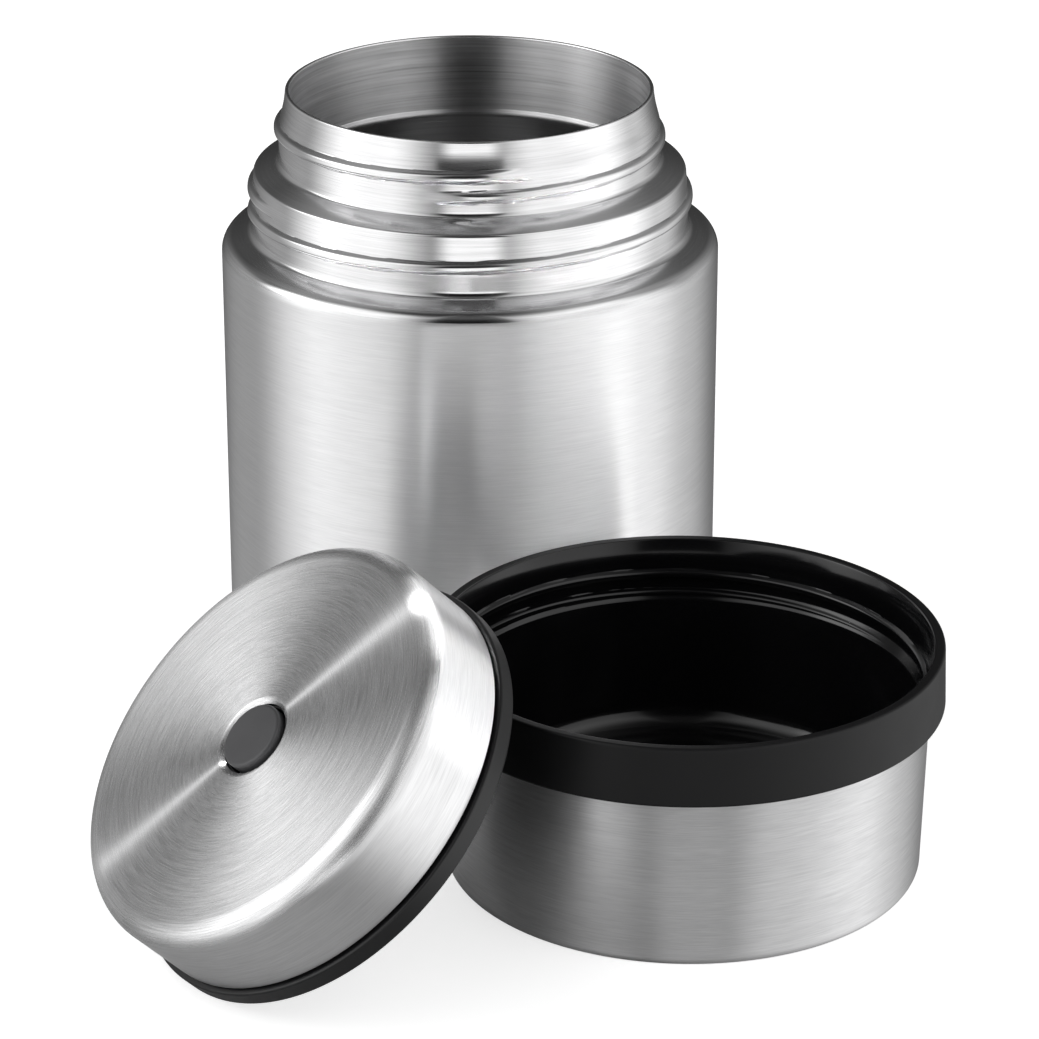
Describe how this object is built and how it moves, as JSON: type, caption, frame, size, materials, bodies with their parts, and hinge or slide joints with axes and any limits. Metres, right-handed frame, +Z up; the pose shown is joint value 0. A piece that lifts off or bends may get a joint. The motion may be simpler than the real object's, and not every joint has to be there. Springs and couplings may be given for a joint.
{
  "type": "insulated food jar",
  "caption": "Open insulated food jar: double-walled steel body with a stepped, threaded neck, a screw-on cup and a screw-in plug lid with a sprung vent button, both taken off.",
  "frame": {"origin": "on the surface that the jar and the cup stand on, under the middle of the whole group's plan", "axes": "+Z up along the jar's and the cup's axes; +Y from the viewer towards the jar, which stands behind; +X to the right, towards the cup"},
  "size_m": [0.1566, 0.2214, 0.1227],
  "materials": {
    "steel": "satin brushed stainless steel",
    "bright_steel": "bright stainless steel",
    "black_plastic": "black moulded polypropylene, satin outside and glossy inside",
    "grey_plastic": "dark grey moulded plastic",
    "silicone": "grey translucent silicone",
    "foam": "closed-cell insulating foam",
    "foil": "bright reflecting foil",
    "getter_alloy": "dark sintered getter pellet"
  },
  "bodies": {
    "jar": {"outer_shell": "steel", "inner_vessel": "steel", "rim_weld": "bright_steel", "base_plate": "steel", "port_seal": "bright_steel", "getter": "getter_alloy", "foil": "foil"},
    "cup": {"cup_shell": "steel", "cup_liner": "black_plastic", "cup_foam": "foam"},
    "lid": {"lid_cover": "steel", "lid_base": "black_plastic", "lid_plug": "black_plastic", "lid_foam": "foam", "lid_seal": "silicone", "button_spring": "bright_steel"},
    "vent_button": {"button_cap": "grey_plastic", "button_stem": "bright_steel", "valve_seal": "silicone", "stem_clip": "bright_steel"}
  },
  "joints": [
    {"name": "cup_lift", "type": "slide", "parent": "jar", "child": "cup", "axis": [0.8192, 0, 0.5736], "range_m": [0, 0.12]},
    {"name": "lid_lift", "type": "slide", "parent": "jar", "child": "lid", "axis": [0, 0, 1], "range_m": [0, 0.12]},
    {"name": "vent_press", "type": "slide", "parent": "lid", "child": "vent_button", "axis": [0.6154, 0.3411, -0.7106], "range_m": [0, 0.0016], "stiffness_N_per_m": 300, "springref_m": -0.003, "deforming": ["button_spring"]}
  ]
}
